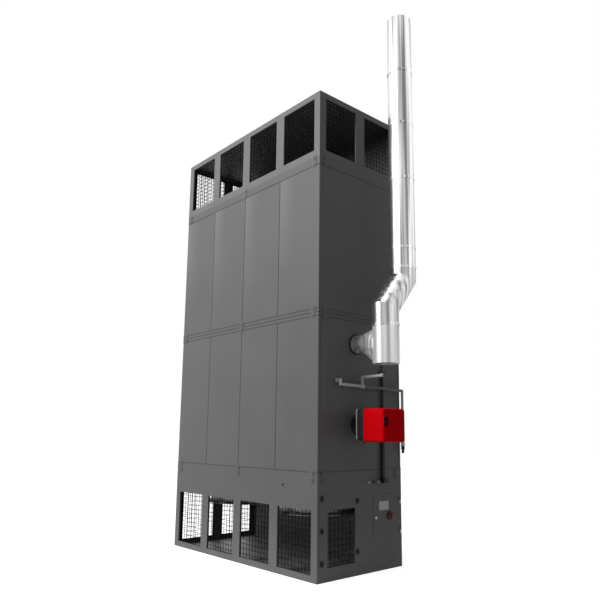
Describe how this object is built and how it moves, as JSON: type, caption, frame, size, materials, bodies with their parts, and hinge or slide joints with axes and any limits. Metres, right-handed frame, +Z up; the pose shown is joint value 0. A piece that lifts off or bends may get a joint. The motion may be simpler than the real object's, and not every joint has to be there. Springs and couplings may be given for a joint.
{
  "type": "air rotation heater",
  "caption": "Tall grey sheet-metal air rotation heater with mesh windows at foot and top, a red-hooded burner, a condensate drain and an offset flue on one end",
  "frame": {"origin": "centre of the floor plate's underside, the face that rests on the floor", "axes": "+Z up, +X towards the end with burner and flue, -Y towards the front with the mesh windows"},
  "size_m": [3.115, 1.194, 5.75],
  "materials": {
    "cabinet_grey": "satin powder coat",
    "inner_steel": "plain zinc coated sheet",
    "burner_red": "gloss",
    "black_cast": "black enamel",
    "black_plastic": "satin",
    "white_plastic": "smooth",
    "stainless": "brushed",
    "flue_grey": "satin",
    "zinc_bolts": "zinc plated",
    "guard_wire": "satin",
    "motor_iron": "painted",
    "shaft_steel": "ground",
    "fan_alloy": "as cast",
    "hot_steel": "mill finish"
  },
  "bodies": {
    "cabinet": {"floor_plate": "inner_steel", "base_front_frame": "cabinet_grey", "base_left_frame": "cabinet_grey", "base_right_frame": "cabinet_grey", "base_back_panel": "cabinet_grey", "inlet_guards": "guard_wire", "service_panel": "cabinet_grey", "service_fixings": "black_plastic", "control_enclosure": "inner_steel", "control_gear": "white_plastic", "door_hinges": "zinc_bolts", "fan_deck": "inner_steel", "fan_casings": "inner_steel", "fan_motor_left": "motor_iron", "fan_motor_right": "motor_iron", "motor_spiders": "inner_steel", "front_panels": "cabinet_grey", "back_panels": "cabinet_grey", "left_end_panels": "cabinet_grey", "lower_right_panel": "cabinet_grey", "upper_right_panel": "cabinet_grey", "section_rails": "cabinet_grey", "joint_plates": "cabinet_grey", "flange_bolts": "zinc_bolts", "combustion_drum": "hot_steel", "reversal_box": "hot_steel", "exchanger_tubes": "hot_steel", "smoke_box": "hot_steel", "exchanger_cradles": "inner_steel", "burner_collar": "black_cast", "burner_flange": "stainless", "blast_tube": "hot_steel", "burner_body": "black_cast", "burner_motor": "black_cast", "burner_cover": "burner_red", "wall_conduit": "black_plastic", "condensate_pipe": "black_plastic", "condensate_trap": "white_plastic", "outlet_front_frame": "cabinet_grey", "outlet_end_frames": "cabinet_grey", "outlet_back_panel": "cabinet_grey", "roof_panel": "cabinet_grey", "outlet_guards": "guard_wire", "flue_collar": "black_plastic", "flue_boot": "flue_grey", "flue_tee": "flue_grey", "flue_elbows": "flue_grey", "flue_pipes": "flue_grey", "flue_bands": "flue_grey"},
    "left_fan": {"impeller_left": "fan_alloy", "fan_shaft_left": "shaft_steel"},
    "right_fan": {"impeller_right": "fan_alloy", "fan_shaft_right": "shaft_steel"},
    "burner_wheel": {"burner_fan": "fan_alloy"},
    "air_damper": {"air_damper": "inner_steel"},
    "reset_button": {"reset_button": "white_plastic"},
    "control_door": {"control_door": "cabinet_grey", "isolator_switch": "black_plastic"},
    "isolator_handle": {"isolator_handle": "black_plastic"},
    "door_lock": {"door_lock": "zinc_bolts"}
  },
  "joints": [
    {"name": "left_fan_spin", "type": "hinge", "parent": "cabinet", "child": "left_fan", "pos_m": [-0.62, 0, 0.8], "axis": [0, 0, 1], "continuous": true},
    {"name": "right_fan_spin", "type": "hinge", "parent": "cabinet", "child": "right_fan", "pos_m": [0.62, 0, 0.8], "axis": [0, 0, 1], "continuous": true},
    {"name": "burner_wheel_spin", "type": "hinge", "parent": "cabinet", "child": "burner_wheel", "pos_m": [1.46, 0.005, 1.362], "axis": [1, 0, 0], "continuous": true},
    {"name": "air_damper_swing", "type": "hinge", "parent": "cabinet", "child": "air_damper", "pos_m": [1.428, 0.005, 1.2582], "axis": [0, 1, 0], "range_deg": [0, 80]},
    {"name": "reset_button_press", "type": "slide", "parent": "cabinet", "child": "reset_button", "axis": [-1, 0, 0], "range_m": [0, 0.003], "stiffness_N_per_m": 400, "springref_m": -0.002},
    {"name": "control_door_swing", "type": "hinge", "parent": "cabinet", "child": "control_door", "pos_m": [1.288, 0.556, 0.5075], "axis": [0, 0, 1], "range_deg": [0, 110]},
    {"name": "isolator_turn", "type": "hinge", "parent": "control_door", "child": "isolator_handle", "pos_m": [1.2888, 0.4, 0.516], "axis": [1, 0, 0], "range_deg": [0, 90]},
    {"name": "door_lock_turn", "type": "hinge", "parent": "control_door", "child": "door_lock", "pos_m": [1.2828, 0.195, 0.5075], "axis": [1, 0, 0], "range_deg": [0, 90]}
  ]
}
